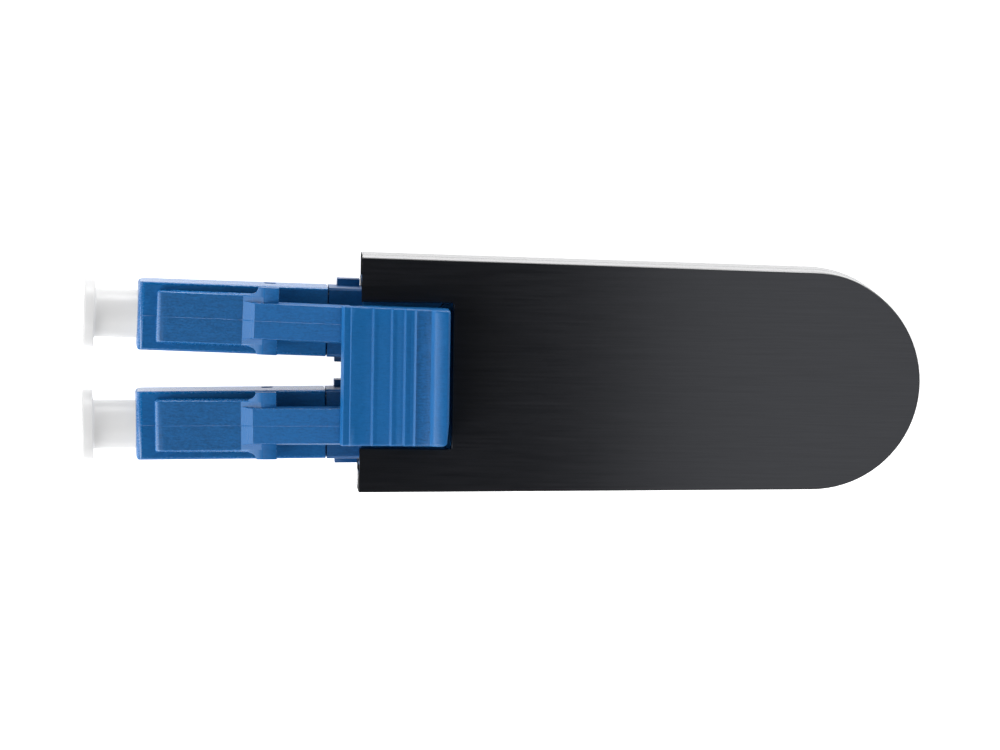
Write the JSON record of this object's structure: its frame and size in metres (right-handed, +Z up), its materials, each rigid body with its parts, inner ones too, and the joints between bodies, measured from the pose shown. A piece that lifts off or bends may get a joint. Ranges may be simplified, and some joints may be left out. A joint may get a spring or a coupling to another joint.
{
  "type": "fibre loopback plug",
  "caption": "Duplex fibre loopback plug: two capped snap-in fibre plugs with a shared release trigger, standing out of a flat black housing with a round end.",
  "frame": {"origin": "middle of the whole outline, on the flat underside of the housing", "axes": "+X from the two plugs towards the round end, +Y across the housing, +Z up through the trigger"},
  "size_m": [0.0544, 0.0152, 0.0112],
  "materials": {
    "black_shell": "brushed black top, smooth sides",
    "blue_plastic": "moulded, fine satin",
    "blue_rear": "moulded, satin",
    "cap_plastic": "milky, slightly translucent",
    "ceramic": "polished",
    "nickel": "turned, nickel plated",
    "steel": "drawn wire",
    "boot_rubber": "matt",
    "fibre_jacket": "satin tight buffer"
  },
  "bodies": {
    "housing": {"top_shell": "black_shell", "bottom_shell": "black_shell", "duplex_clip": "blue_plastic", "fibre_loop": "fibre_jacket"},
    "trigger": {"trigger": "blue_plastic"},
    "plug_a": {"plug_body_a": "blue_plastic", "rear_body_a": "blue_rear", "spring_stop_a": "nickel", "boot_a": "boot_rubber", "spring_a": "steel"},
    "latch_a": {"latch_arm_a": "blue_plastic"},
    "ferrule_a": {"ferrule_a": "ceramic", "ferrule_flange_a": "nickel"},
    "cap_a": {"dust_cap_a": "cap_plastic"},
    "plug_b": {"plug_body_b": "blue_plastic", "rear_body_b": "blue_rear", "spring_stop_b": "nickel", "boot_b": "boot_rubber", "spring_b": "steel"},
    "latch_b": {"latch_arm_b": "blue_plastic"},
    "ferrule_b": {"ferrule_b": "ceramic", "ferrule_flange_b": "nickel"},
    "cap_b": {"dust_cap_b": "cap_plastic"}
  },
  "joints": [
    {"name": "trigger_press", "type": "hinge", "parent": "housing", "child": "trigger", "pos_m": [-0.00389, 0, 0.00725], "axis": [0, -1, 0], "range_deg": [0, 8], "stiffness_Nm_per_rad": 0.02},
    {"name": "plug_a_sway", "type": "hinge", "parent": "housing", "child": "plug_a", "pos_m": [-0.00294, 0.00313, 0.004], "axis": [0, 0, 1], "range_deg": [0, 1.27], "stiffness_Nm_per_rad": 0.05},
    {"name": "latch_a_flex", "type": "hinge", "parent": "plug_a", "child": "latch_a", "pos_m": [-0.02163, 0.00354, 0.0063], "axis": [0.0222, 0.9998, 0], "range_deg": [0, 5], "stiffness_Nm_per_rad": 0.005},
    {"name": "ferrule_a_float", "type": "slide", "parent": "plug_a", "child": "ferrule_a", "axis": [0.9998, -0.0222, 0], "range_m": [0, 0.0008], "stiffness_N_per_m": 1500, "deforming": ["spring_a"]},
    {"name": "cap_a_pull", "type": "slide", "parent": "plug_a", "child": "cap_a", "axis": [-0.9998, 0.0222, 0], "range_m": [0, 0.006]},
    {"name": "plug_b_sway", "type": "hinge", "parent": "housing", "child": "plug_b", "pos_m": [-0.00294, -0.00313, 0.004], "axis": [0, 0, -1], "range_deg": [0, 1.27], "stiffness_Nm_per_rad": 0.05},
    {"name": "latch_b_flex", "type": "hinge", "parent": "plug_b", "child": "latch_b", "pos_m": [-0.02163, -0.00354, 0.0063], "axis": [-0.0222, 0.9998, 0], "range_deg": [0, 5], "stiffness_Nm_per_rad": 0.005},
    {"name": "ferrule_b_float", "type": "slide", "parent": "plug_b", "child": "ferrule_b", "axis": [0.9998, 0.0222, 0], "range_m": [0, 0.0008], "stiffness_N_per_m": 1500, "deforming": ["spring_b"]},
    {"name": "cap_b_pull", "type": "slide", "parent": "plug_b", "child": "cap_b", "axis": [-0.9998, -0.0222, 0], "range_m": [0, 0.006]}
  ],
  "couplings": [
    {"joint": "latch_a_flex", "follows": "trigger_press", "ratio": 0.62},
    {"joint": "latch_b_flex", "follows": "trigger_press", "ratio": 0.62}
  ]
}
